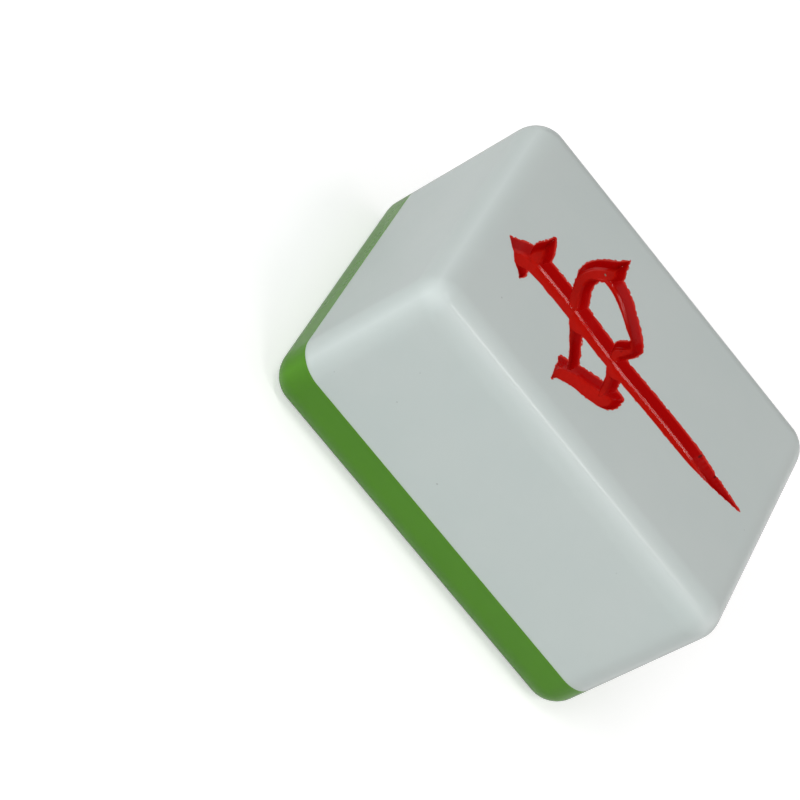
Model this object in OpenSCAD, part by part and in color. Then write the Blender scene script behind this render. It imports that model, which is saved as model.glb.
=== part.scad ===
// A mahjong tile of two bonded layers: a white block with the red "middle"
// character engraved and painted in its face, on a ribbed green back.
// The tile lies on its back. X runs across the face, Y runs up the character,
// and the origin is at the centre of the back.

/* [Tile] */
// Width of the tile, across the face
tile_w = 33.2; // [31:0.1:40]
// Length of the tile, from its foot to its head
tile_l = 44; // [42:0.5:52]
// Thickness of the tile, both layers together
tile_h = 23.2; // [16:0.1:30]
// Thickness of the green back layer
back_t = 5.5; // [4:0.1:9]
// Radius of every outer edge and corner
edge_r = 3.2; // [1:0.1:3.5]

/* [Character] */
// Width of the field that the character is drawn in
mark_w = 25; // [20:0.5:26]
// Height of the field that the character is drawn in
mark_h = 36; // [30:0.5:37]
// Width of the broadest stroke
stroke_w = 4; // [2.5:0.1:4.5]
// Depth of the engraving below the face
groove_d = 1.2; // [0.6:0.05:1.5]
// Slope of the grooves' walls, in degrees from the face
wall_slope = 60; // [45:1:70]
// Thickness of the red paint in the grooves, measured upright
paint_t = 0.15; // [0.08:0.01:0.3]

/* [Back] */
// Depth of the pattern pressed into the back
relief_d = 0.2; // [0.1:0.05:0.5]
// Width of a narrow rib
narrow_rib_w = 0.8; // [0.5:0.05:0.9]
// Width of a broad rib
broad_rib_w = 1.3; // [0.9:0.05:1.4]
// Width of the groove between two ribs
rib_gap = 0.85; // [0.4:0.05:0.9]
// Length of the ribs
rib_l = 36; // [30:0.5:37]
// Width of the panel in the middle of the ribs
panel_w = 18; // [14:0.5:20]
// Height of the panel in the middle of the ribs
panel_h = 27; // [20:0.5:30]
// Cut of the panel's corners, along each side
panel_corner = 4.5; // [3:0.1:6]
// Width of the plain band round the panel
band_w = 1.3; // [0.8:0.1:2]
// Width of the grooves of the panel's lattice
lattice_gap = 0.5; // [0.3:0.05:0.8]
// Distance from one lattice groove to the next
lattice_pitch = 2.4; // [1.8:0.1:4]
// Lean of the lattice grooves, in degrees from the upright
lattice_lean = 35; // [25:1:45]

/* [Hidden] */
$fn = 64;

// How far a cutting shape runs past the face that it cuts
overrun = 0.4;

// Grooves on each side of the middle rib, and the ribs' repeat: every third
// rib is a broad one
side_grooves = 7;
rib_repeat = 3;

// Strokes of the character, each a line of stations [x, y, width]: shares of
// the field's width and height from its centre, and of the broadest stroke
stem_shares = [
    [-0.101, 0.496, 0.075], [-0.103, 0.4765, 0.3], [-0.105, 0.458, 0.52], [-0.098, 0.436, 0.71],
    [-0.084, 0.411, 0.85], [-0.074, 0.383, 0.9], [-0.069, 0.347, 0.895], [-0.068, 0.275, 0.9],
    [-0.071, 0.2, 0.89], [-0.077, 0.133, 0.85], [-0.08, 0.052, 0.81], [-0.079, -0.003, 0.77],
    [-0.074, -0.103, 0.765], [-0.072, -0.203, 0.765], [-0.072, -0.275, 0.725],
    [-0.072, -0.336, 0.55], [-0.07, -0.395, 0.36], [-0.067, -0.442, 0.19],
    [-0.064, -0.483, 0.025]
];
head_left_shares = [
    [-0.12, 0.447, 0.48], [-0.15, 0.435, 0.46], [-0.174, 0.4215, 0.35], [-0.198, 0.4165, 0.19],
    [-0.222, 0.4145, 0.04]
];
head_right_shares = [
    [-0.08, 0.4, 0.6], [-0.02, 0.395, 0.61], [0.01, 0.392, 0.54], [0.04, 0.388, 0.43],
    [0.08, 0.387, 0.25], [0.104, 0.387, 0.15], [0.122, 0.388, 0.05]
];
left_shares = [
    [-0.462, 0.191, 0.03], [-0.43, 0.187, 0.16], [-0.4, 0.178, 0.375], [-0.364, 0.1625, 0.625],
    [-0.34, 0.1375, 0.71], [-0.32, 0.107, 0.79], [-0.302, 0.075, 0.8], [-0.286, 0.0515, 0.79],
    [-0.268, 0.033, 0.71], [-0.242, 0.0145, 0.56], [-0.218, 0.0015, 0.35],
    [-0.202, -0.012, 0.165]
];
left_flag_shares = [
    [-0.344, 0.191, 0.275], [-0.342, 0.172, 0.4], [-0.34, 0.15, 0.475]
];
top_shares = [
    [-0.3, 0.157, 0.35], [-0.24, 0.1735, 0.375], [-0.2, 0.187, 0.4], [-0.16, 0.198, 0.45],
    [-0.076, 0.222, 0.575], [0.027, 0.242, 0.59], [0.069, 0.248, 0.54], [0.109, 0.2515, 0.55],
    [0.149, 0.249, 0.54], [0.19, 0.2395, 0.53], [0.232, 0.22, 0.61], [0.27, 0.2, 0.625],
    [0.304, 0.1855, 0.55], [0.344, 0.179, 0.35], [0.38, 0.1735, 0.19], [0.414, 0.1685, 0.03]
];
right_shares = [
    [0.225, 0.208, 0.45], [0.242, 0.175, 0.65], [0.234, 0.1445, 0.68], [0.216, 0.12, 0.655],
    [0.19, 0.095, 0.605], [0.162, 0.072, 0.575], [0.135, 0.051, 0.525], [0.112, 0.0305, 0.43],
    [0.094, 0.014, 0.25], [0.084, 0.0055, 0.08]
];
bottom_shares = [
    [-0.256, 0.039, 0.35], [-0.223, 0.035, 0.45], [-0.179, 0.037, 0.44], [-0.144, 0.0435, 0.51],
    [-0.075, 0.053, 0.52], [-0.011, 0.057, 0.5], [0.016, 0.0495, 0.49], [0.048, 0.0355, 0.44],
    [0.08, 0.0265, 0.4], [0.106, 0.0235, 0.275]
];

// Each stroke has its own depth, as a share of the engraving's full depth
strokes = [
    [stem_shares, 1],
    [head_left_shares, 0.91],
    [head_right_shares, 0.87],
    [left_shares, 0.73],
    [left_flag_shares, 0.66],
    [top_shares, 0.9],
    [right_shares, 0.95],
    [bottom_shares, 0.82]
];

// Narrowest floor of a groove, as a share of the groove's width at the face
floor_share = 0.1;
// Steps of a stroke between one station and the next
station_steps = 2;

// Point on a smooth curve from b to c, where a comes before b and d after c
function blend(a, b, c, d, t) =
    (2 * b + (c - a) * t + (2 * a - 5 * b + 4 * c - d) * t * t + (3 * b - a - 3 * c + d) * t * t * t) / 2;

// Smooth run of stations through the given ones
function smooth(p) = let (last = len(p) - 1) [
    for (i = [0 : last - 1], s = [0 : station_steps - 1])
        blend(
            i == 0 ? 2 * p[0] - p[1] : p[i - 1],
            p[i],
            p[i + 1],
            i == last - 1 ? 2 * p[last] - p[last - 1] : p[i + 2],
            s / station_steps
        ),
    p[last]
];

// Stations in real sizes, from the shares of a stroke
function sized(shares) = [for (s = smooth(shares)) [s.x * mark_w, s.y * mark_h, s.z * stroke_w]];

// Direction across the stroke at station i
function across(p, i) =
    let (
        ahead = p[min(i + 1, len(p) - 1)],
        behind = p[max(i - 1, 0)],
        run = [ahead.x - behind.x, ahead.y - behind.y]
    )
    [-run.y, run.x] / norm(run);

// Groove section at station i: both lips, raised past the face, and both
// corners of the floor
function groove_ring(p, i, full_d) =
    let (
        side = across(p, i),
        half = p[i].z / 2,
        floor_half = max(half * floor_share, half - full_d / tan(wall_slope)),
        depth = (half - floor_half) * tan(wall_slope),
        lip_half = half + overrun / tan(wall_slope),
        low = tile_h - depth,
        high = tile_h + overrun
    )
    [
        [p[i].x + side.x * lip_half, p[i].y + side.y * lip_half, high],
        [p[i].x - side.x * lip_half, p[i].y - side.y * lip_half, high],
        [p[i].x - side.x * floor_half, p[i].y - side.y * floor_half, low],
        [p[i].x + side.x * floor_half, p[i].y + side.y * floor_half, low]
    ];

// Faces of a tube of four-cornered rings with closed ends, all triangles
function tube_faces(rings) = concat(
    [[0, 1, 2], [0, 2, 3]],
    [for (i = [0 : rings - 2], j = [0 : 3]) [4 * i + j, 4 * i + 4 + j, 4 * i + 4 + (j + 1) % 4]],
    [for (i = [0 : rings - 2], j = [0 : 3]) [4 * i + j, 4 * i + 4 + (j + 1) % 4, 4 * i + (j + 1) % 4]],
    [[4 * rings - 2, 4 * rings - 3, 4 * rings - 4], [4 * rings - 1, 4 * rings - 2, 4 * rings - 4]]
);

// One engraved stroke, as the shape that is cut away
module stroke(shares, depth_share) {
    stations = sized(shares);
    rings = [for (i = [0 : len(stations) - 1]) groove_ring(stations, i, groove_d * depth_share)];
    polyhedron([for (ring = rings) each ring], tube_faces(len(rings)));
}

// All the strokes of the character, as the shape that is cut away
module engraving() {
    for (s = strokes) stroke(s[0], s[1]);
}

// Rectangle of a by b with the tile's edge radius at its corners
module rounded_outline(a, b) {
    square([a - 2 * edge_r, b], center = true);
    square([a, b - 2 * edge_r], center = true);
    for (x = [-1, 1], y = [-1, 1]) translate([x * (a / 2 - edge_r), y * (b / 2 - edge_r)]) circle(edge_r);
}

// The whole tile, with every edge rounded and a ball at every corner
module rounded_tile() {
    translate([0, 0, tile_h / 2]) {
        linear_extrude(tile_h - 2 * edge_r, center = true) rounded_outline(tile_w, tile_l);
        rotate([90, 0, 0])
            linear_extrude(tile_l - 2 * edge_r, center = true) rounded_outline(tile_w, tile_h);
        rotate([90, 0, 90])
            linear_extrude(tile_w - 2 * edge_r, center = true) rounded_outline(tile_l, tile_h);
        for (x = [-1, 1], y = [-1, 1], z = [-1, 1])
            translate([x * (tile_w / 2 - edge_r), y * (tile_l / 2 - edge_r), z * (tile_h / 2 - edge_r)])
                sphere(edge_r);
    }
}

// Slice of space from height low to height high, wider than the tile
module layer(low, high) {
    translate([0, 0, (low + high) / 2])
        cube([tile_w + 2 * overrun, tile_l + 2 * overrun, high - low], center = true);
}

// Width and place of rib i, counted from the middle one
function rib_w(i) = i % rib_repeat == rib_repeat - 1 ? broad_rib_w : narrow_rib_w;
function rib_x(i) = i == 0 ? 0 : rib_x(i - 1) + (rib_w(i - 1) + rib_w(i)) / 2 + rib_gap;

// Upright groove with round ends between rib i and the next one
module rib_groove(i) {
    translate([rib_x(i) + (rib_w(i) + rib_gap) / 2, 0]) {
        square([rib_gap, rib_l - rib_gap], center = true);
        for (y = [-1, 1]) translate([0, y * (rib_l - rib_gap) / 2]) circle(rib_gap / 2);
    }
}

// Panel outline with cut corners, drawn in from its edge by an inset
module panel(inset) {
    half_w = panel_w / 2 - inset;
    half_h = panel_h / 2 - inset;
    corner = panel_corner - inset * (2 - sqrt(2));
    polygon([
        [half_w, corner - half_h], [half_w, half_h - corner],
        [half_w - corner, half_h], [corner - half_w, half_h],
        [-half_w, half_h - corner], [-half_w, corner - half_h],
        [corner - half_w, -half_h], [half_w - corner, -half_h]
    ]);
}

// Crossed grooves, enough of them to cover the panel, with a whole lozenge
// between them at its centre
module lattice() {
    reach = norm([panel_w, panel_h]);
    count = ceil(reach / 2 / lattice_pitch);
    for (lean = [-1, 1], i = [-count : count])
        rotate(lean * lattice_lean)
            translate([(2 * i + 1) * lattice_pitch / 2, 0]) square([lattice_gap, reach], center = true);
}

// Pattern pressed into the back: ribs round a latticed panel in a plain band
module back_pattern() {
    difference() {
        union() {
            for (turn = [0, 180], i = [0 : side_grooves - 1]) rotate(turn) rib_groove(i);
            panel(-rib_gap);
        }
        panel(0);
    }
    difference() {
        panel(band_w);
        panel(band_w + lattice_gap);
    }
    intersection() {
        panel(band_w);
        lattice();
    }
}

// White block with the engraved face
module front_block() {
    color([0.80, 0.82, 0.81])
        difference() {
            intersection() {
                rounded_tile();
                layer(back_t, tile_h + overrun);
            }
            engraving();
        }
}

// Green layer with the pressed pattern
module back_layer() {
    color([0.25, 0.50, 0.10])
        difference() {
            intersection() {
                rounded_tile();
                layer(-overrun, back_t);
            }
            translate([0, 0, -overrun]) linear_extrude(overrun + relief_d) back_pattern();
        }
}

// Red paint, a film that lines the grooves up to the face
module character_paint() {
    color([0.72, 0.05, 0.04])
        difference() {
            intersection() {
                engraving();
                rounded_tile();
            }
            translate([0, 0, paint_t]) engraving();
        }
}

front_block();
back_layer();
character_paint();
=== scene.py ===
"""Looks of a two-layer mahjong tile: engraved, painted white face on a ribbed green back."""
import math

import bpy
import numpy as np
from mathutils import Matrix, Vector
from mathutils.geometry import delaunay_2d_cdt


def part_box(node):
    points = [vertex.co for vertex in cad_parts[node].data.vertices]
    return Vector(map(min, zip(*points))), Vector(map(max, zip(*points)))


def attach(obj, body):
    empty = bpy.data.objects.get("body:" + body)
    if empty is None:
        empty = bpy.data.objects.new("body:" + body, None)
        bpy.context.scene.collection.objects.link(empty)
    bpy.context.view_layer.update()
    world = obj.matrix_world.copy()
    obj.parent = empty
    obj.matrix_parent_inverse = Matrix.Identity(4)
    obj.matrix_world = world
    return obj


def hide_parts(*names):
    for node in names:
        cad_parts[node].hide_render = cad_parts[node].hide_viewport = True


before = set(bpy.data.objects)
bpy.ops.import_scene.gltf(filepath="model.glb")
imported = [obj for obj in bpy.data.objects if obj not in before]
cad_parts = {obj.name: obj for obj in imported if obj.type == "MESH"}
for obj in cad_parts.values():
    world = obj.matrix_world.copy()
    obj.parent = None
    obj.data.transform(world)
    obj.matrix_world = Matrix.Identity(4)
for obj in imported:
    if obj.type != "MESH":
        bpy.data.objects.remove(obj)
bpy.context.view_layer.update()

MM = 0.001

# Sizes that the frame gives
BLOCK_LOW, BLOCK_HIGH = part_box("front_block")
BACK_LOW, BACK_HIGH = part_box("back_layer")
TILE_W = BLOCK_HIGH.x - BLOCK_LOW.x
TILE_L = BLOCK_HIGH.y - BLOCK_LOW.y
SEAM_Z = BACK_HIGH.z
FACE_Z = BLOCK_HIGH.z

# Sizes of the edges, the seam's notch and the flat inside the rounded edges
EDGE_R = 3.2 * MM
SEAM_NOTCH = 0.03 * MM
HALF_FLAT_W = TILE_W / 2 - EDGE_R
HALF_FLAT_L = TILE_L / 2 - EDGE_R

# How finely the edges are divided, and the heading where each upright corner starts
CORNER_STEPS = 14
EDGE_STEPS = 14
RIM_SPACING = 0.8 * MM
CORNER_HEADINGS = (-math.pi, -math.pi / 2, 0, math.pi / 2)

# The character's field, broadest stroke and groove
MARK_W = 25 * MM
MARK_H = 36 * MM
STROKE_W = 4 * MM
GROOVE_D = 1.2 * MM
WALL_SLOPE = math.tan(math.radians(60))
LIP_ROUND = 0.05 * MM
FLOOR_ROUND = 0.12 * MM
STATION_STEPS = 4

# The paint: a thin skin on the walls that pools along the sides of the floor
PAINT_WALL = 0.03 * MM
PAINT_FLOOR = 0.1 * MM
POOL_W = 0.26 * MM
POOL_SLOPE = math.tan(math.radians(40))
POOL_ROUND = 0.02 * MM

# How far the paint stands above the white, is sunk into it, and runs over the outline
PAINT_LIFT = 0.012 * MM
PAINT_SUNK = 0.03 * MM
PAINT_OVER = 0.04 * MM

# The paint's frayed edge: how far it wanders, and its lumps as share, size and seed
PAINT_FRAY = 0.11 * MM
PAINT_FRAY_LUMPS = [(0.6, 0.45 * MM, 11), (0.7, 0.18 * MM, 12)]
GRAIN_CELLS = 256

# Small faults in the paint: grit, a bubble's ring as painted shade and two small dark spots
GRIT_AT = (7 * MM, 7.12 * MM)
GRIT_R = 0.16 * MM
BUBBLE_AT = (1.0 * MM, 1.75 * MM)
BUBBLE_R = 0.26 * MM
PAINT_DARK_SPOTS = [(-0.65 * MM, -10.84 * MM, 0.15 * MM), (-1.0 * MM, -13.27 * MM, 0.11 * MM)]

# Small dark marks moulded into the white: place and radius
RESIN_MARKS = [
    (-9.69 * MM, 15.38 * MM, 23.2 * MM, 0.12 * MM),
    (-16.6 * MM, 13.63 * MM, 11.47 * MM, 0.1 * MM),
    (-16.6 * MM, 4.71 * MM, 8.92 * MM, 0.14 * MM),
    (-16.6 * MM, 15.02 * MM, 15.69 * MM, 0.08 * MM),
]

# The pattern pressed into the back
RELIEF_D = 0.2 * MM
RELIEF_ROUND = 0.12 * MM
NARROW_RIB = 0.8 * MM
BROAD_RIB = 1.3 * MM
RIB_GAP = 0.85 * MM
RIB_L = 36 * MM
SIDE_GROOVES = 7
RIB_REPEAT = 3
PANEL_W = 18 * MM
PANEL_H = 27 * MM
PANEL_CORNER = 4.5 * MM
BAND_W = 1.3 * MM
LATTICE_GAP = 0.5 * MM
LATTICE_PITCH = 2.4 * MM
LATTICE_LEAN = math.radians(35)

# How finely a pattern is sampled, and how closely its outlines are followed
GRID = 0.05 * MM
OUTLINE_TOLERANCE = 0.003 * MM
SMALLEST_LOOP = 5
SPINE_STEP = 0.2 * MM
PAINT_FILL = 0.1 * MM
PAINT_SLOPE_STEP = 0.01 * MM

# The distance that stands for everything farther outside a stroke
FAR_OUT = 0.5 * MM

# In metres: points this close are merged, and rim points are found again by these steps
MERGE_WITHIN = 1e-9
SAME_POINT = 1e-8

# Distances inside an outline that get edges of their own in the meshes
GROOVE_LEVELS = [x * MM for x in (-0.16, -0.05, 0, 0.05, 0.14, 0.3, 0.45, 0.6, 0.68, 0.76, 0.9)]
PAINT_LEVELS = [x * MM for x in (0.1, 0.2, 0.28, *np.arange(0.32, 0.9, 0.04), 0.98, 1.12)]
RELIEF_LEVELS = [x * MM for x in (-0.12, -0.04, 0.04, 0.12, 0.2)]

# Edges sharper than this many degrees break the shading
MOULDED_SHARP = 40
PAINT_SHARP = 70

# Strokes of the character: stations [x, y, width] as shares of the field's width and
# height from its centre and of the broadest stroke, and the depth's share
STEM_SHARES = [
    (-0.101, 0.496, 0.075), (-0.103, 0.4765, 0.3), (-0.105, 0.458, 0.52), (-0.098, 0.436, 0.71),
    (-0.084, 0.411, 0.85), (-0.074, 0.383, 0.9), (-0.069, 0.347, 0.895), (-0.068, 0.275, 0.9),
    (-0.071, 0.2, 0.89), (-0.077, 0.133, 0.85), (-0.08, 0.052, 0.81), (-0.079, -0.003, 0.77),
    (-0.074, -0.103, 0.765), (-0.072, -0.203, 0.765), (-0.072, -0.275, 0.725),
    (-0.072, -0.336, 0.55), (-0.07, -0.395, 0.36), (-0.067, -0.442, 0.19),
    (-0.064, -0.483, 0.025),
]
HEAD_LEFT_SHARES = [
    (-0.12, 0.447, 0.48), (-0.15, 0.435, 0.46), (-0.174, 0.4215, 0.35), (-0.198, 0.4165, 0.19),
    (-0.222, 0.4145, 0.04),
]
HEAD_RIGHT_SHARES = [
    (-0.08, 0.4, 0.6), (-0.02, 0.395, 0.61), (0.01, 0.392, 0.54), (0.04, 0.388, 0.43),
    (0.08, 0.387, 0.25), (0.104, 0.387, 0.15), (0.122, 0.388, 0.05),
]
LEFT_SHARES = [
    (-0.462, 0.191, 0.03), (-0.43, 0.187, 0.16), (-0.4, 0.178, 0.375), (-0.364, 0.1625, 0.625),
    (-0.34, 0.1375, 0.71), (-0.32, 0.107, 0.79), (-0.302, 0.075, 0.8), (-0.286, 0.0515, 0.79),
    (-0.268, 0.033, 0.71), (-0.242, 0.0145, 0.56), (-0.218, 0.0015, 0.35),
    (-0.202, -0.012, 0.165),
]
LEFT_FLAG_SHARES = [
    (-0.344, 0.191, 0.275), (-0.342, 0.172, 0.4), (-0.34, 0.15, 0.475),
]
TOP_SHARES = [
    (-0.3, 0.157, 0.35), (-0.24, 0.1735, 0.375), (-0.2, 0.187, 0.4), (-0.16, 0.198, 0.45),
    (-0.076, 0.222, 0.575), (0.027, 0.242, 0.59), (0.069, 0.248, 0.54), (0.109, 0.2515, 0.55),
    (0.149, 0.249, 0.54), (0.19, 0.2395, 0.53), (0.232, 0.22, 0.61), (0.27, 0.2, 0.625),
    (0.304, 0.1855, 0.55), (0.344, 0.179, 0.35), (0.38, 0.1735, 0.19), (0.414, 0.1685, 0.03),
]
RIGHT_SHARES = [
    (0.225, 0.208, 0.45), (0.242, 0.175, 0.65), (0.234, 0.1445, 0.68), (0.216, 0.12, 0.655),
    (0.19, 0.095, 0.605), (0.162, 0.072, 0.575), (0.135, 0.051, 0.525), (0.112, 0.0305, 0.43),
    (0.094, 0.014, 0.25), (0.084, 0.0055, 0.08),
]
BOTTOM_SHARES = [
    (-0.256, 0.039, 0.35), (-0.223, 0.035, 0.45), (-0.179, 0.037, 0.44), (-0.144, 0.0435, 0.51),
    (-0.075, 0.053, 0.52), (-0.011, 0.057, 0.5), (0.016, 0.0495, 0.49), (0.048, 0.0355, 0.44),
    (0.08, 0.0265, 0.4), (0.106, 0.0235, 0.275),
]
STROKES = [
    (STEM_SHARES, 1),
    (HEAD_LEFT_SHARES, 0.91),
    (HEAD_RIGHT_SHARES, 0.87),
    (LEFT_SHARES, 0.73),
    (LEFT_FLAG_SHARES, 0.66),
    (TOP_SHARES, 0.9),
    (RIGHT_SHARES, 0.95),
    (BOTTOM_SHARES, 0.82),
]


# Smooth helpers

def ramp(t, rounding):
    """0 below zero and t above it, with the corner rounded over that distance each way."""
    t = np.asarray(t, float)
    bend = (t + rounding) ** 2 / (4 * rounding)
    return np.where(t <= -rounding, 0, np.where(t >= rounding, t, bend))


def capped(t, limit, rounding):
    """t where it is below the limit, and the limit above it, with the corner rounded."""
    return limit - ramp(limit - t, rounding)


def smooth_run(stations):
    """A smooth line of stations through the given ones."""
    p = np.array(stations, float)
    p = np.vstack([2 * p[0] - p[1], p, 2 * p[-1] - p[-2]])
    out = []
    for a, b, c, d in zip(p, p[1:], p[2:], p[3:]):
        for t in np.arange(STATION_STEPS) / STATION_STEPS:
            slope = (c - a) * t
            bend = (2 * a - 5 * b + 4 * c - d) * t**2
            twist = (3 * b - a - 3 * c + d) * t**3
            out.append((2 * b + slope + bend + twist) / 2)
    return np.array(out + [p[-2]])


def grain(points, size, seed):
    """Smooth noise from -1 to 1 at the points, with lumps of about that size."""
    table = np.random.default_rng(seed).uniform(-1, 1, (GRAIN_CELLS, GRAIN_CELLS))
    scaled = points / size
    base = np.floor(scaled).astype(int)
    f = scaled - base
    f = f * f * (3 - 2 * f)
    x0, y0 = base[..., 0] % GRAIN_CELLS, base[..., 1] % GRAIN_CELLS
    x1, y1 = (x0 + 1) % GRAIN_CELLS, (y0 + 1) % GRAIN_CELLS
    low = table[x0, y0] * (1 - f[..., 0]) + table[x1, y0] * f[..., 0]
    high = table[x0, y1] * (1 - f[..., 0]) + table[x1, y1] * f[..., 0]
    return low * (1 - f[..., 1]) + high * f[..., 1]


# The engraved character, as distances

def stroke_lines():
    """Each stroke as its smooth stations in metres, and its depth."""
    scale = np.array([MARK_W, MARK_H, STROKE_W / 2])
    return [(smooth_run(shares) * scale, GROOVE_D * share) for shares, share in STROKES]


LINES = stroke_lines()


def inside_stroke(points, line):
    """How far each point lies inside a stroke's outline, negative outside it."""
    best = np.full(points.shape[:-1], -FAR_OUT)
    for a, b in zip(line, line[1:]):
        reach = max(a[2], b[2]) + FAR_OUT
        low = np.minimum(a[:2], b[:2]) - reach
        high = np.maximum(a[:2], b[:2]) + reach
        near = np.all((points > low) & (points < high), axis=-1)
        close = points[near]
        along = b[:2] - a[:2]
        t = np.clip(((close - a[:2]) @ along) / (along @ along), 0, 1)
        away = np.linalg.norm(close - (a[:2] + t[:, None] * along), axis=-1)
        best[near] = np.maximum(best[near], a[2] + t * (b[2] - a[2]) - away)
    return best


def inside_mark(points):
    """How far each point lies inside the character's outline, negative outside it."""
    return np.max([inside_stroke(points, line) for line, _ in LINES], axis=0)


def groove_depth(points):
    """Depth of the engraved groove below the face at each point."""
    depths = [
        capped(WALL_SLOPE * ramp(inside_stroke(points, line), LIP_ROUND), deep, FLOOR_ROUND)
        for line, deep in LINES
    ]
    return np.max(depths, axis=0)


def paint_depth(points):
    """Depth of the paint's surface: down the wall, over its sloping pool and along the floor."""
    depths = []
    for line, deep in LINES:
        floor = deep - PAINT_FLOOR
        inside = inside_stroke(points, line) - PAINT_WALL
        pool_end = (floor - POOL_SLOPE * POOL_W) / WALL_SLOPE + POOL_W
        wall = WALL_SLOPE * ramp(inside, LIP_ROUND)
        pool = capped(floor - POOL_SLOPE * (pool_end - inside), floor, POOL_ROUND)
        depths.append(capped(wall, pool, POOL_ROUND))
    return np.max(depths, axis=0)


def paint_normals(points):
    """Which way the paint's surface faces at each point."""
    slopes = []
    for step in ((PAINT_SLOPE_STEP, 0), (0, PAINT_SLOPE_STEP)):
        rise = paint_depth(points + np.array(step)) - paint_depth(points - np.array(step))
        slopes.append(rise / (2 * PAINT_SLOPE_STEP))
    normals = np.stack([*slopes, np.ones(len(points))], axis=-1)
    return normals / np.linalg.norm(normals, axis=-1, keepdims=True)


def inside_paint(points):
    """How far each point lies inside the paint's frayed edge, negative outside it."""
    fray = sum(share * grain(points, size, seed) for share, size, seed in PAINT_FRAY_LUMPS)
    return inside_mark(points) + PAINT_OVER + PAINT_FRAY * fray


# The pattern on the back, as distances

def rib_w(i):
    """Width of rib i, counted from the middle one."""
    return BROAD_RIB if i % RIB_REPEAT == RIB_REPEAT - 1 else NARROW_RIB


def rib_x(i):
    """Place of rib i, counted from the middle one."""
    return 0 if i == 0 else rib_x(i - 1) + (rib_w(i - 1) + rib_w(i)) / 2 + RIB_GAP


def inside_ribs(points):
    """How far each point lies inside the upright grooves between the ribs."""
    x, y = np.abs(points[..., 0]), np.abs(points[..., 1])
    past_end = np.maximum(y - (RIB_L - RIB_GAP) / 2, 0)
    centres = [rib_x(i) + (rib_w(i) + RIB_GAP) / 2 for i in range(SIDE_GROOVES)]
    return np.max([RIB_GAP / 2 - np.hypot(x - c, past_end) for c in centres], axis=0)


def inside_panel(points):
    """How far each point lies inside the panel's outline."""
    x, y = np.abs(points[..., 0]), np.abs(points[..., 1])
    corner = ((PANEL_W + PANEL_H) / 2 - PANEL_CORNER - x - y) / math.sqrt(2)
    return np.minimum(np.minimum(PANEL_W / 2 - x, PANEL_H / 2 - y), corner)


def inside_lattice(points):
    """How far each point lies inside the crossed grooves of the panel."""
    strips = []
    for lean in (-LATTICE_LEAN, LATTICE_LEAN):
        across = points[..., 0] * math.cos(lean) + points[..., 1] * math.sin(lean)
        off = np.abs(across % LATTICE_PITCH - LATTICE_PITCH / 2)
        strips.append(LATTICE_GAP / 2 - off)
    return np.maximum(*strips)


def inside_relief(points):
    """How far each point lies inside the pattern pressed into the back."""
    panel = inside_panel(points)
    ribs = np.minimum(np.maximum(inside_ribs(points), panel + RIB_GAP), -panel)
    line = np.minimum(panel - BAND_W, BAND_W + LATTICE_GAP - panel)
    lattice = np.minimum(panel - BAND_W, inside_lattice(points))
    return np.maximum(ribs, np.maximum(line, lattice))


def relief_depth(points):
    """Depth of the pressed pattern below the back's surface at each point."""
    return capped(ramp(inside_relief(points), RELIEF_ROUND), RELIEF_D, RELIEF_ROUND / 2)


# Outlines of a field of distances

# For each set of a grid cell's corners above the level, the sides where a line comes in and
# goes out. Sides are 0 low y, 1 high x, 2 high y and 3 low x, and the field is higher on the
# line's left
CELL_TURNS = {
    1: [(0, 3)], 2: [(1, 0)], 3: [(1, 3)], 4: [(2, 1)], 5: [(0, 3), (2, 1)], 6: [(2, 0)],
    7: [(2, 3)], 8: [(3, 2)], 9: [(0, 2)], 10: [(1, 0), (3, 2)], 11: [(1, 2)], 12: [(3, 1)],
    13: [(0, 1)], 14: [(3, 0)],
}


def grid_points():
    """A grid of points over the tile's flat."""
    xs = np.linspace(-HALF_FLAT_W, HALF_FLAT_W, round(2 * HALF_FLAT_W / GRID) + 1)
    ys = np.linspace(-HALF_FLAT_L, HALF_FLAT_L, round(2 * HALF_FLAT_L / GRID) + 1)
    return np.stack(np.meshgrid(xs, ys, indexing="ij"), axis=-1)


def outlines(points, field, level):
    """Closed lines where a field on a grid crosses a level."""
    above = field > level
    links = {}

    def crossing(i, j, side):
        """Key of the crossed grid edge on one side of cell i, j."""
        return ((i, j, 0), (i + 1, j, 1), (i, j + 1, 0), (i, j, 1))[side]

    code = (
        above[:-1, :-1] * 1 + above[1:, :-1] * 2 + above[1:, 1:] * 4 + above[:-1, 1:] * 8
    )
    for i, j in zip(*np.nonzero((code > 0) & (code < 15))):
        for start, end in CELL_TURNS[int(code[i, j])]:
            links[crossing(i, j, start)] = crossing(i, j, end)

    def place(key):
        """Point where the field crosses the level on one grid edge."""
        i, j, upright = key
        ends = ((i, j), (i, j + 1)) if upright else ((i, j), (i + 1, j))
        a, b = field[ends[0]], field[ends[1]]
        t = (level - a) / (b - a)
        return points[ends[0]] * (1 - t) + points[ends[1]] * t

    loops = []
    while links:
        first = next(iter(links))
        key, loop = first, []
        while key in links:
            loop.append(place(key))
            key = links.pop(key)
        if key == first and len(loop) > SMALLEST_LOOP:
            loops.append(np.array(loop))
    return loops


def simplified(loop):
    """The loop with only the points that its shape needs."""
    far = int(np.argmax(np.linalg.norm(loop - loop[0], axis=1)))
    closed = np.vstack([loop, loop[:1]])
    keep = {0, far}
    spans = [(0, far), (far, len(loop))]
    while spans:
        a, b = spans.pop()
        if b - a < 2:
            continue
        chord = closed[b] - closed[a]
        length = np.linalg.norm(chord)
        rest = closed[a + 1:b] - closed[a]
        if length > 0:
            off = np.abs(rest[:, 0] * chord[1] - rest[:, 1] * chord[0]) / length
        else:
            off = np.linalg.norm(rest, axis=1)
        worst = int(np.argmax(off))
        if off[worst] > OUTLINE_TOLERANCE:
            middle = a + 1 + worst
            keep.add(middle)
            spans += [(a, middle), (middle, b)]
    return loop[sorted(keep)]


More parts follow.
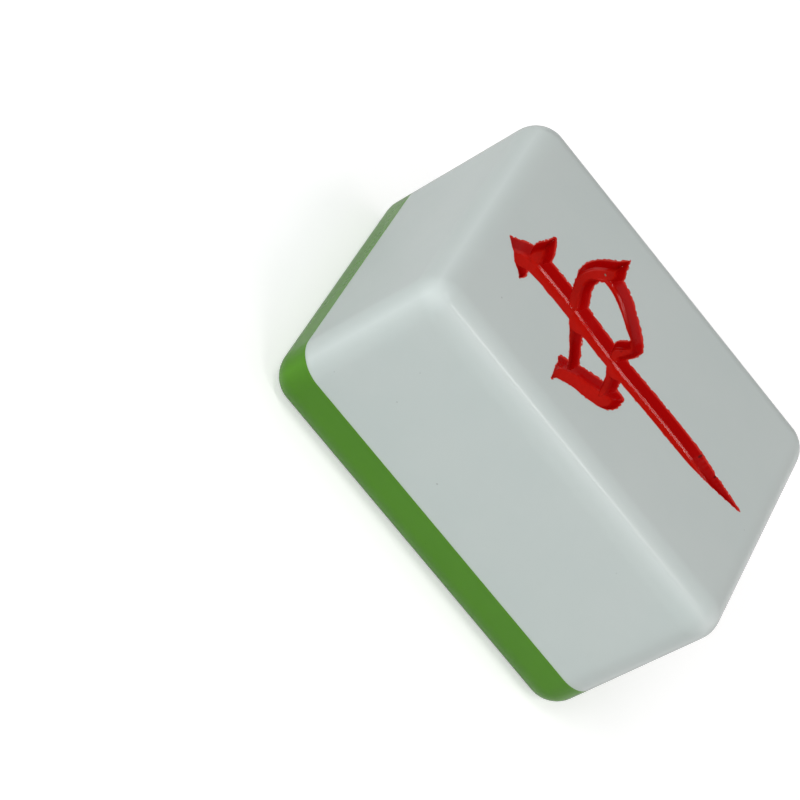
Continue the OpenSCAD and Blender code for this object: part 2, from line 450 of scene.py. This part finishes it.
def rim_points():
    """Points along the flat's four sides, anticlockwise from its low corner, and their steps."""
    steps_w = round(2 * HALF_FLAT_W / RIM_SPACING)
    steps_l = round(2 * HALF_FLAT_L / RIM_SPACING)
    signs = [(-1, -1), (1, -1), (1, 1), (-1, 1)]
    corners = [(x * HALF_FLAT_W, y * HALF_FLAT_L) for x, y in signs]
    rim = []
    for (a, b), steps in zip(zip(corners, corners[1:] + corners[:1]), (steps_w, steps_l) * 2):
        rim += [np.array(a) + (np.array(b) - np.array(a)) * i / steps for i in range(steps)]
    return np.array(rim), steps_w, steps_l


def triangulated(loops, loose, wanted=None):
    """Flat points and triangles that keep every loop as edges."""
    points, edges = [], []
    for loop in loops:
        first = len(points)
        points += [Vector(p) for p in loop]
        edges += [(first + i, first + (i + 1) % len(loop)) for i in range(len(loop))]
    points += [Vector(p) for p in loose]
    verts, _, faces, _, _, _ = delaunay_2d_cdt(points, edges, [], 0, MERGE_WITHIN)
    flat = np.array([v[:] for v in verts])
    faces = np.array([f for f in faces if len(f) == 3])
    if wanted is not None:
        middles = flat[faces].mean(axis=1)
        faces = faces[wanted(middles) > 0]
    return flat, faces


def patterned_sheet(field_of, levels, loose):
    """Flat points and triangles over the tile's flat, with the field's outlines as edges."""
    points = grid_points()
    field = field_of(points)
    loops = [simplified(loop) for level in levels for loop in outlines(points, field, level)]
    rim, steps_w, steps_l = rim_points()
    # The rim goes in as points, and the sheet's hull is the flat's rectangle
    flat, faces = triangulated(loops, list(rim) + list(loose))
    return flat, faces, rim, steps_w, steps_l


# Meshes

def new_piece(name, verts, faces, sharp_deg, material):
    """A mesh object of the tile with smooth shading that breaks at sharp edges."""
    mesh = bpy.data.meshes.new(name)
    mesh.from_pydata([tuple(v) for v in verts], [], [tuple(int(i) for i in f) for f in faces])
    mesh.validate()
    mesh.polygons.foreach_set("use_smooth", [True] * len(mesh.polygons))
    mesh.set_sharp_from_angle(angle=math.radians(sharp_deg))
    mesh.materials.append(material)
    piece = bpy.data.objects.new(name, mesh)
    bpy.context.scene.collection.objects.link(piece)
    return piece


def mark_inside(piece, inside):
    """Keeps on every vertex how far it lies inside the character's outline."""
    film = piece.data.attributes.new("inside", "FLOAT", "POINT")
    film.data.foreach_set("value", inside.astype(np.float32))


def wall_columns(flat, rim, steps_w, steps_l):
    """Columns of a shell's wall: each one's vertex on the rim, its place and its heading."""

    def key(point):
        """The point in whole steps, to find it among the sheet's vertices."""
        return round(point[0] / SAME_POINT), round(point[1] / SAME_POINT)

    index = {key(point): i for i, point in enumerate(flat)}
    corners = [0, steps_w, steps_w + steps_l, 2 * steps_w + steps_l]
    columns = []
    for k, point in enumerate(rim):
        if k in corners:
            first = CORNER_HEADINGS[corners.index(k)]
            turns = [math.pi / 2 * s / CORNER_STEPS for s in range(CORNER_STEPS + 1)]
        else:
            turns = [math.pi / 2]
        columns += [(index[key(point)], point, first + turn) for turn in turns]
    return columns


def wall_rows(top, up):
    """Rows of a shell's wall, from its face to the notch at the seam: reach and height."""
    rows = []
    for s in range(1, EDGE_STEPS + 1):
        turn = math.pi / 2 * s / EDGE_STEPS
        rows.append((EDGE_R * math.sin(turn), top - up * EDGE_R * (1 - math.cos(turn))))
    return rows + [(EDGE_R, SEAM_Z + up * SEAM_NOTCH), (EDGE_R - SEAM_NOTCH, SEAM_Z)]


def rounded_shell(flat, faces, heights, rim, steps, top):
    """A patterned face with rounded edges and sides to the seam, as a closed shell.

    top is the face's height, above the seam or below it.
    """
    up = 1 if top > SEAM_Z else -1
    verts = [(x, y, z) for (x, y), z in zip(flat, heights)]
    tris = [tuple(f) for f in faces]
    columns = wall_columns(flat, rim, *steps)
    count = len(columns)
    rings = [[start for start, _, _ in columns]]
    for reach, height in wall_rows(top, up):
        rings.append(list(range(len(verts), len(verts) + count)))
        for _, (x, y), heading in columns:
            verts.append((x + reach * math.cos(heading), y + reach * math.sin(heading), height))
    for high, low in zip(rings, rings[1:]):
        for k in range(count):
            a, b = high[k], high[(k + 1) % count]
            c, d = low[(k + 1) % count], low[k]
            tris.append((d, c, b, a) if a != b else (d, c, a))
    tris.append(tuple(rings[-1][::-1]))
    if up < 0:
        tris = [f[::-1] for f in tris]
    return verts, tris


def spine_points():
    """Points along the strokes' middles, for the floors and the ridges of their tips."""
    found = []
    for line, _ in LINES:
        lengths = np.linalg.norm(np.diff(line[:, :2], axis=0), axis=1)
        reach = np.concatenate([[0], np.cumsum(lengths)])
        for s in np.arange(0, reach[-1], SPINE_STEP):
            found.append((np.interp(s, reach, line[:, 0]), np.interp(s, reach, line[:, 1])))
    return found


def paint_fill():
    """Even points all over the paint, clear of its edge."""
    xs = np.arange(-MARK_W / 2, MARK_W / 2, PAINT_FILL)
    ys = np.arange(-MARK_H / 2, MARK_H / 2, PAINT_FILL)
    points = np.stack(np.meshgrid(xs, ys, indexing="ij"), axis=-1).reshape(-1, 2)
    return list(points[inside_paint(points) > PAINT_FILL / 2])


SPINE = spine_points()


def make_body(material):
    """The white block with its engraved face."""
    flat, faces, rim, *steps = patterned_sheet(inside_mark, GROOVE_LEVELS, SPINE)
    top = FACE_Z - PAINT_LIFT
    heights = top - groove_depth(flat)
    verts, tris = rounded_shell(flat, faces, heights, rim, steps, top)
    body = new_piece("white_body", verts, tris, MOULDED_SHARP, material)
    outside = np.full(len(verts) - len(flat), -FAR_OUT)
    mark_inside(body, np.concatenate([inside_mark(flat), outside]))
    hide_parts("front_block")
    return body


def make_back(material):
    """The green layer with its pressed pattern."""
    flat, faces, rim, *steps = patterned_sheet(inside_relief, RELIEF_LEVELS, [])
    heights = BACK_LOW.z + relief_depth(flat)
    verts, tris = rounded_shell(flat, faces, heights, rim, steps, BACK_LOW.z)
    back = new_piece("green_back", verts, tris, MOULDED_SHARP, material)
    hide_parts("back_layer")
    return back


def paint_sheet():
    """Flat points and triangles within the paint's frayed edge."""
    points = grid_points()
    border = [simplified(loop) for loop in outlines(points, inside_paint(points), 0)]
    field = inside_mark(points)
    inner = [simplified(loop) for level in PAINT_LEVELS for loop in outlines(points, field, level)]
    flat, faces = triangulated(border + inner, SPINE + paint_fill(), inside_paint)
    used = np.unique(faces)
    renumber = np.full(len(flat), -1)
    renumber[used] = np.arange(len(used))
    return flat[used], renumber[faces]


def make_paint(material):
    """The red enamel: a closed skin with a frayed edge that follows the grooves."""
    flat, faces = paint_sheet()
    high = FACE_Z - paint_depth(flat)
    low = FACE_Z - PAINT_LIFT - PAINT_SUNK - groove_depth(flat)
    count = len(flat)
    verts = [(x, y, z) for heights in (high, low) for (x, y), z in zip(flat, heights)]
    tris = [tuple(f) for f in faces] + [tuple(count + i for i in f[::-1]) for f in faces]
    edges = {(int(f[i]), int(f[(i + 1) % 3])) for f in faces for i in range(3)}
    rim = [pair for pair in edges if pair[::-1] not in edges]
    tris += [(b, a, a + count, b + count) for a, b in rim]
    paint = new_piece("red_paint", verts, tris, PAINT_SHARP, material)
    # Exact normals keep the gloss on the sloping pool even; the rim's come from its faces
    normals = paint_normals(flat)
    normals[sorted({i for pair in rim for i in pair})] = 0
    below = [(0, 0, 0)] * count
    paint.data.normals_split_custom_set_from_vertices([tuple(n) for n in normals] + below)
    mark_inside(paint, np.concatenate([inside_mark(flat)] * 2))
    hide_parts("character_paint")
    return paint


# Materials

# Sockets of a colour mix: first colour, second colour and result
MIX_FIRST, MIX_SECOND, MIX_RESULT = 6, 7, 2

# Softness of small spots: the share of the radius that is full, and a mark's strength
SPOT_CORE = 0.6
RING_CORE = 0.62
MARK_CORE = 0.3
MARK_STRENGTH = 0.4
PICK_WIDTH = 0.001

# The resin's clouds, grain, painted highlight on its rounded edges, specks, marks and paint
# stain. A range is the part of a noise that is spread over the whole effect
CLOUD_SIZE = 9 * MM
CLOUD_RANGE = (0.3, 0.7)
GRAIN_SIZE = 0.6 * MM
GRAIN_RANGE = (0.35, 0.65)
GRAIN_STRENGTH = 0.35
EDGE_HIGHLIGHT_SQUARENESS = (0.97, 0.62)
RESIN_SPECKS = (3.4 * MM, 0.08 * MM, 0.2)
SPECK_STRENGTH = 0.45
SPECK_SHADE = 0.45
MARK_SHADE = 0.3
STAIN_REACH = (-0.02 * MM, 0.08 * MM)
STAIN_STRENGTH = 0.8

# The resin's gloss: scuffs with their turn and stretch, slow waves, and light let in
SCUFF_SIZE = 0.35 * MM
SCUFF_RANGE = (0.4, 0.85)
SCUFF_STRETCH = ((0.3, 0.2, 0.7), (1, 0.12, 1))
RESIN_ROUGHNESS = (0.17, 0.22)
WAVE_SIZE = 2.6 * MM
WAVE_DEPTH = 0.003 * MM
PLASTIC_IOR = 1.5
LIGHT_IN = 0.12
LIGHT_IN_TINT = (1.0, 1.0, 0.9)
LIGHT_IN_DEPTH = 0.4 * MM

# The enamel's reds: two tones of its floor, painted shade on its walls, its thin edge, and its
# faults
RED_DEEP = (0.52, 0.008, 0.004)
RED_PALE = (0.58, 0.01, 0.005)
RED_WALL_SHADE = (0.4, 0.0015, 0.0015)
RED_EDGE = (0.6, 0.03, 0.02)
DIRT_TONE = (0.08, 0.01, 0.01)
GRIT_TONE = (0.2, 0.22, 0.17)
BUBBLE_RIM_SHADE = (0.3, 0.002, 0.002)
DARK_SPOT_TONE = (0.12, 0.005, 0.005)

# Where they lie, as distances inside the outline, and the enamel's streaks and gloss
WALL_SHADE_REACH = (0.45 * MM, 0.75 * MM)
EDGE_REACH = (0.02 * MM, 0.14 * MM)
STREAK_SIZE = 0.5 * MM
STREAK_RANGE = (0.3, 0.7)
ENAMEL_DIRT = (1.3 * MM, 0.07 * MM, 0.14)
ENAMEL_ROUGHNESS = (0.35, 0.12)
ENAMEL_ROUGH_REACH = 0.2 * MM
LUMP_SIZE = 0.9 * MM
LUMP_DEPTH = 0.002 * MM
RIPPLE_SIZE = 0.16 * MM
RIPPLE_DEPTH = 0.0001 * MM
ENAMEL_GLOSS = 0.06


class Nodes:
    """Short calls for building one material's node tree."""

    def __init__(self, name):
        self.material = bpy.data.materials.new(name)
        self.material.use_nodes = True
        self.tree = self.material.node_tree
        self.shader = self.tree.nodes["Principled BSDF"]
        self.place = self.add("ShaderNodeTexCoord").outputs["Object"]

    def add(self, kind, **settings):
        """A node of that kind, with its properties set."""
        node = self.tree.nodes.new(kind)
        for key, value in settings.items():
            setattr(node, key, value)
        return node

    def link(self, source, target):
        """Connects two sockets."""
        self.tree.links.new(source, target)

    def noise(self, size, detail, roughness=0.5, stretch=None):
        """Noise with lumps of about that size in metres, from 0 to 1."""
        node = self.add("ShaderNodeTexNoise")
        node.inputs["Scale"].default_value = 1 / size
        node.inputs["Detail"].default_value = detail
        node.inputs["Roughness"].default_value = roughness
        source = self.place
        if stretch:
            mapping = self.add("ShaderNodeMapping")
            mapping.inputs["Rotation"].default_value = stretch[0]
            mapping.inputs["Scale"].default_value = stretch[1]
            self.link(source, mapping.inputs["Vector"])
            source = mapping.outputs["Vector"]
        self.link(source, node.inputs["Vector"])
        return node.outputs["Fac"]

    def remap(self, source, low, high, out_low, out_high, smooth=False):
        """A value moved from one range to another and held inside it."""
        node = self.add("ShaderNodeMapRange")
        if smooth:
            node.interpolation_type = "SMOOTHSTEP"
        sockets = ("From Min", "From Max", "To Min", "To Max")
        for key, value in zip(sockets, (low, high, out_low, out_high)):
            node.inputs[key].default_value = value
        self.link(source, node.inputs["Value"])
        return node.outputs["Result"]

    def mix(self, share, first, second):
        """A colour between two colours or colour sockets."""
        node = self.add("ShaderNodeMix", data_type="RGBA")
        self.link(share, node.inputs["Factor"])
        for key, value in ((MIX_FIRST, first), (MIX_SECOND, second)):
            if isinstance(value, tuple):
                node.inputs[key].default_value = (*value, 1)
            else:
                self.link(value, node.inputs[key])
        return node.outputs[MIX_RESULT]

    def combine(self, operation, first, second, clamp=False):
        """Two values, of which the second may be a plain number, by a math operation."""
        node = self.add("ShaderNodeMath", operation=operation, use_clamp=clamp)
        self.link(first, node.inputs[0])
        if isinstance(second, float):
            node.inputs[1].default_value = second
        else:
            self.link(second, node.inputs[1])
        return node.outputs[0]

    def away(self, source, centre):
        """How far a place is from a centre."""
        node = self.add("ShaderNodeVectorMath", operation="DISTANCE")
        node.inputs[1].default_value = centre
        self.link(source, node.inputs[0])
        return node.outputs["Value"]

    def bump(self, height, distance, under=None):
        """A bump of that height in metres, on top of another one if given."""
        node = self.add("ShaderNodeBump")
        node.inputs["Distance"].default_value = distance
        node.inputs["Strength"].default_value = 1
        self.link(height, node.inputs["Height"])
        if under is not None:
            self.link(under, node.inputs["Normal"])
        return node.outputs["Normal"]

    def specks(self, spacing, radius, share):
        """1 in a few small round specks and 0 elsewhere."""
        node = self.add("ShaderNodeTexVoronoi", feature="F1")
        node.inputs["Scale"].default_value = 1 / spacing
        self.link(self.place, node.inputs["Vector"])
        reach = radius / spacing
        near = self.remap(node.outputs["Distance"], reach * SPOT_CORE, reach, 1, 0)
        split = self.add("ShaderNodeSeparateColor")
        self.link(node.outputs["Color"], split.inputs["Color"])
        picked = self.remap(split.outputs["Red"], share, share + PICK_WIDTH, 1, 0)
        return self.combine("MULTIPLY", near, picked)

    def round_spot(self, centre, radius):
        """1 within a round spot of the plan and 0 outside it."""
        flat = self.add("ShaderNodeVectorMath", operation="MULTIPLY")
        flat.inputs[1].default_value = (1, 1, 0)
        self.link(self.place, flat.inputs[0])
        away = self.away(flat.outputs[0], (*centre, 0))
        return self.remap(away, radius * SPOT_CORE, radius, 1, 0)

    def ring(self, centre, radius):
        """1 on a thin ring of the plan and 0 elsewhere."""
        within = self.round_spot(centre, radius)
        core = self.round_spot(centre, radius * RING_CORE)
        return self.combine("SUBTRACT", within, core, clamp=True)

    def mark(self, centre, radius):
        """Up to 1 within a small soft ball and 0 outside it."""
        away = self.away(self.place, centre)
        return self.remap(away, radius * MARK_CORE, radius, MARK_STRENGTH, 0, smooth=True)

    def squareness(self):
        """1 where the surface faces along an axis, and less on the rounded edges."""
        normal = self.add("ShaderNodeTexCoord").outputs["Normal"]
        size = self.add("ShaderNodeVectorMath", operation="ABSOLUTE")
        self.link(normal, size.inputs[0])
        split = self.add("ShaderNodeSeparateXYZ")
        self.link(size.outputs[0], split.inputs["Vector"])
        sideways = self.combine("MAXIMUM", split.outputs["X"], split.outputs["Y"])
        return self.combine("MAXIMUM", sideways, split.outputs["Z"])

    def height(self):
        """The height above the back in metres."""
        split = self.add("ShaderNodeSeparateXYZ")
        self.link(self.place, split.inputs["Vector"])
        return split.outputs["Z"]

    def inside(self):
        """How far the vertices lie inside the character's outline."""
        return self.add("ShaderNodeAttribute", attribute_name="inside").outputs["Fac"]


def resin(name, base, pale, deep, edge_highlight, near_seam, seam_side, gloss, stain=None, marks=()):
    """Polished moulded resin: cloudy tone, painted highlight on rounded edges, rare specks, faint
    scratches.
    """
    n = Nodes(name)
    cloud = n.remap(n.noise(CLOUD_SIZE, 4), *CLOUD_RANGE, 0, 1, smooth=True)
    fine = n.remap(n.noise(GRAIN_SIZE, 3), *GRAIN_RANGE, 0, 1)
    tone = n.mix(cloud, deep, pale)
    tone = n.mix(n.combine("MULTIPLY", fine, GRAIN_STRENGTH), tone, base)
    # Painted highlight: the rounded edges get a paler tone the farther they face off an axis
    tone = n.mix(n.remap(n.squareness(), *EDGE_HIGHLIGHT_SQUARENESS, 0, 1, smooth=True), tone, edge_highlight)
    seam = n.remap(n.height(), SEAM_Z, SEAM_Z + seam_side, 1, 0, smooth=True)
    tone = n.mix(seam, tone, near_seam)
    specks = n.combine("MULTIPLY", n.specks(*RESIN_SPECKS), SPECK_STRENGTH)
    tone = n.mix(specks, tone, tuple(c * SPECK_SHADE for c in base))
    for *centre, radius in marks:
        tone = n.mix(n.mark(centre, radius), tone, tuple(c * MARK_SHADE for c in base))
    if stain:
        stained = n.remap(n.inside(), *STAIN_REACH, 0, STAIN_STRENGTH, smooth=True)
        tone = n.mix(stained, tone, stain)
    n.link(tone, n.shader.inputs["Base Color"])
    scuffs = n.noise(SCUFF_SIZE, 2, 0.6, SCUFF_STRETCH)
    n.link(n.remap(scuffs, *SCUFF_RANGE, *RESIN_ROUGHNESS), n.shader.inputs["Roughness"])
    n.link(n.bump(n.noise(WAVE_SIZE, 2), WAVE_DEPTH), n.shader.inputs["Normal"])
    n.shader.inputs["IOR"].default_value = PLASTIC_IOR
    n.shader.inputs["Specular IOR Level"].default_value = gloss
    n.shader.inputs["Subsurface Weight"].default_value = LIGHT_IN
    n.shader.inputs["Subsurface Radius"].default_value = LIGHT_IN_TINT
    n.shader.inputs["Subsurface Scale"].default_value = LIGHT_IN_DEPTH
    return n.material


def enamel():
    """Brushed red enamel: walls darkened by painted shade, thinner and rougher at its edge."""
    n = Nodes("red_enamel")
    inside = n.inside()
    streaks = n.noise(STREAK_SIZE, 4, 0.6)
    tone = n.mix(n.remap(streaks, *STREAK_RANGE, 0, 1), RED_DEEP, RED_PALE)
    # Painted shade: the walls of the groove get a darker red than the floor
    tone = n.mix(n.remap(inside, *WALL_SHADE_REACH, 1, 0, smooth=True), tone, RED_WALL_SHADE)
    tone = n.mix(n.remap(inside, *EDGE_REACH, 1, 0, smooth=True), tone, RED_EDGE)
    tone = n.mix(n.specks(*ENAMEL_DIRT), tone, DIRT_TONE)
    tone = n.mix(n.round_spot(GRIT_AT, GRIT_R), tone, GRIT_TONE)
    # Painted shade: a darker ring stands for the rim of a bubble
    tone = n.mix(n.ring(BUBBLE_AT, BUBBLE_R), tone, BUBBLE_RIM_SHADE)
    for *centre, radius in PAINT_DARK_SPOTS:
        tone = n.mix(n.round_spot(centre, radius), tone, DARK_SPOT_TONE)
    n.link(tone, n.shader.inputs["Base Color"])
    rough = n.remap(inside, 0, ENAMEL_ROUGH_REACH, *ENAMEL_ROUGHNESS)
    n.link(rough, n.shader.inputs["Roughness"])
    lumps = n.bump(n.noise(LUMP_SIZE, 2), LUMP_DEPTH)
    ripples = n.bump(n.noise(RIPPLE_SIZE, 3, 0.6), RIPPLE_DEPTH, under=lumps)
    n.link(ripples, n.shader.inputs["Normal"])
    n.shader.inputs["IOR"].default_value = PLASTIC_IOR
    n.shader.inputs["Specular IOR Level"].default_value = ENAMEL_GLOSS
    return n.material


# Stage, light and camera

CAMERA_EYE = Vector((-277.46, 98.88, 217.77)) * MM
CAMERA_AIM = Vector((-4.28, 9.64, 2.17)) * MM
CAMERA_UP = Vector((0.5454, 0.7458, 0.3824))
CAMERA_LENS = 167.9
CAMERA_CLIP = (0.01, 20)
FLOOR_SIZE = 6.0
FLOOR_LAP = 0.4 * MM
FLOOR_GAP = 0.02 * MM
FLOOR_TONE = (0.8, 0.8, 0.8)
FLOOR_ROUGHNESS = 0.9

# Lamps: name, azimuth and elevation in degrees, distance, width, height, watts, colour
# and roll in degrees. The strips are seen in the gloss of the edge and the enamel
LAMPS = [
    ("left_low", 137, 10, 1.1, 1.5, 1.1, 5.35, (0.95, 1, 0.99), 0),
    ("left_box", 139, 24, 1.1, 1.9, 1.4, 6.45, (0.95, 1, 1), 0),
    ("foot_low", 265, 10, 1.1, 1.5, 1.1, 3.4, (1, 0.98, 0.97), 0),
    ("foot_high", 290, 30, 1.1, 1.0, 1.0, 3.5, (1, 0.95, 0.95), 0),
    ("right_head", 48, 28, 1.1, 1.2, 1.1, 0.5, (1, 0.96, 0.96), 0),
    ("side_strip", 210, 61, 0.7, 0.13, 0.045, 0.55, (1, 0.96, 0.96), -23),
    ("top_strip", 123, 65, 0.7, 0.33, 0.05, 0.75, (1, 0.96, 0.96), 20),
    ("head_accent", 105, 8, 0.8, 0.035, 0.14, 0.45, (1, 1, 1), 0),
]

# The floor's own glow towards the camera, its share in reflections, and the surround
FLOOR_GLOW = 0.47
FLOOR_MIRRORED = 0.1
WORLD_LEVEL = 0.19


def facing(place, target, up):
    """Matrix of a camera or lamp at a place that looks at a target."""
    back = (place - target).normalized()
    right = up.cross(back).normalized()
    turned = Matrix((right, back.cross(right), back)).transposed().to_4x4()
    return Matrix.Translation(place) @ turned


def add_camera():
    """The camera at the photograph's viewing angle."""
    camera = bpy.data.cameras.new("camera")
    camera.lens = CAMERA_LENS
    camera.clip_start, camera.clip_end = CAMERA_CLIP
    holder = bpy.data.objects.new("camera", camera)
    bpy.context.scene.collection.objects.link(holder)
    holder.matrix_world = facing(CAMERA_EYE, CAMERA_AIM, CAMERA_UP)
    bpy.context.scene.camera = holder


def add_lamp(name, azimuth, elevation, distance, width, height, watts, colour, roll):
    """A soft rectangular lamp that looks at the tile."""
    turn = math.radians(azimuth)
    rise = math.radians(elevation)
    flat = math.cos(rise)
    direction = Vector((flat * math.cos(turn), flat * math.sin(turn), math.sin(rise)))
    lamp = bpy.data.lights.new(name, "AREA")
    lamp.shape = "RECTANGLE"
    lamp.size = width
    lamp.size_y = height
    lamp.energy = watts
    lamp.color = colour
    holder = bpy.data.objects.new(name, lamp)
    bpy.context.scene.collection.objects.link(holder)
    centre = Vector((0, 0, FACE_Z / 2))
    aimed = facing(centre + direction * distance, centre, Vector((0, 0, 1)))
    holder.matrix_world = aimed @ Matrix.Rotation(math.radians(roll), 4, "Z")


def floor_mesh():
    """The floor's sheet, open where the tile covers it, and just under the tile."""
    mesh = bpy.data.meshes.new("floor")
    corners = [(-1, -1), (1, -1), (1, 1), (-1, 1)]
    half_w = HALF_FLAT_W - FLOOR_LAP
    half_l = HALF_FLAT_L - FLOOR_LAP
    verts = [(x * FLOOR_SIZE / 2, y * FLOOR_SIZE / 2, -FLOOR_GAP) for x, y in corners]
    verts += [(x * half_w, y * half_l, -FLOOR_GAP) for x, y in corners]
    mesh.from_pydata(verts, [], [(k, (k + 1) % 4, (k + 1) % 4 + 4, k + 4) for k in range(4)])
    return mesh


def floor_material():
    """White that keeps the tile's shadow, and is clear from below, so that the back shows."""
    material = bpy.data.materials.new("floor")
    material.use_nodes = True
    tree = material.node_tree
    shader = tree.nodes["Principled BSDF"]
    shader.inputs["Base Color"].default_value = (*FLOOR_TONE, 1)
    shader.inputs["Roughness"].default_value = FLOOR_ROUGHNESS
    shader.inputs["Specular IOR Level"].default_value = 0
    shader.inputs["Emission Color"].default_value = (1, 1, 1, 1)
    glow = tree.nodes.new("ShaderNodeMath")
    glow.operation = "MULTIPLY"
    glow.inputs[1].default_value = FLOOR_GLOW
    path = tree.nodes.new("ShaderNodeLightPath")
    seen = tree.nodes.new("ShaderNodeMath")
    seen.operation = "MULTIPLY_ADD"
    seen.inputs[1].default_value = FLOOR_MIRRORED
    clear = tree.nodes.new("ShaderNodeBsdfTransparent")
    under = tree.nodes.new("ShaderNodeNewGeometry")
    either = tree.nodes.new("ShaderNodeMixShader")
    for source, target in (
        (path.outputs["Is Glossy Ray"], seen.inputs[0]),
        (path.outputs["Is Camera Ray"], seen.inputs[2]),
        (seen.outputs[0], glow.inputs[0]),
        (glow.outputs[0], shader.inputs["Emission Strength"]),
        (under.outputs["Backfacing"], either.inputs[0]),
        (shader.outputs[0], either.inputs[1]),
        (clear.outputs[0], either.inputs[2]),
        (either.outputs[0], tree.nodes["Material Output"].inputs["Surface"]),
    ):
        tree.links.new(source, target)
    return material


def add_floor():
    """A plain white floor under the tile."""
    mesh = floor_mesh()
    mesh.materials.append(floor_material())
    floor = bpy.data.objects.new("floor", mesh)
    bpy.context.scene.collection.objects.link(floor)


def set_world():
    """A plain dim surround that lights evenly and shows white."""
    world = bpy.data.worlds.new("surround")
    bpy.context.scene.world = world
    world.use_nodes = True
    tree = world.node_tree
    background = tree.nodes["Background"]
    background.inputs["Color"].default_value = (1, 1, 1, 1)
    level = tree.nodes.new("ShaderNodeMapRange")
    level.inputs["To Min"].default_value = WORLD_LEVEL
    level.inputs["To Max"].default_value = 1
    path = tree.nodes.new("ShaderNodeLightPath")
    tree.links.new(path.outputs["Is Camera Ray"], level.inputs["Value"])
    tree.links.new(level.outputs["Result"], background.inputs["Strength"])


WHITE = (0.58, 0.635, 0.618)
GREEN = (0.077, 0.242, 0.0105)

white_resin = resin(
    "white_resin",
    base=WHITE,
    pale=(0.588, 0.64, 0.623),
    deep=(0.572, 0.63, 0.613),
    # Painted highlight on the rounded edges
    edge_highlight=(0.664, 0.719, 0.704),
    near_seam=(0.545, 0.63, 0.56),
    seam_side=0.5 * MM,
    gloss=0.12,
    stain=(0.72, 0.2, 0.17),
    marks=RESIN_MARKS,
)
green_resin = resin(
    "green_resin",
    base=GREEN,
    pale=(0.082, 0.254, 0.0115),
    deep=(0.072, 0.231, 0.0095),
    # Painted highlight on the rounded edges
    edge_highlight=(0.094, 0.295, 0.013),
    near_seam=(0.095, 0.262, 0.012),
    seam_side=-0.25 * MM,
    gloss=0.35,
)

for made in (make_body(white_resin), make_back(green_resin), make_paint(enamel())):
    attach(made, "root")

set_world()
add_floor()
for lamp in LAMPS:
    add_lamp(*lamp)
add_camera()
bpy.context.scene.view_settings.view_transform = "Standard"
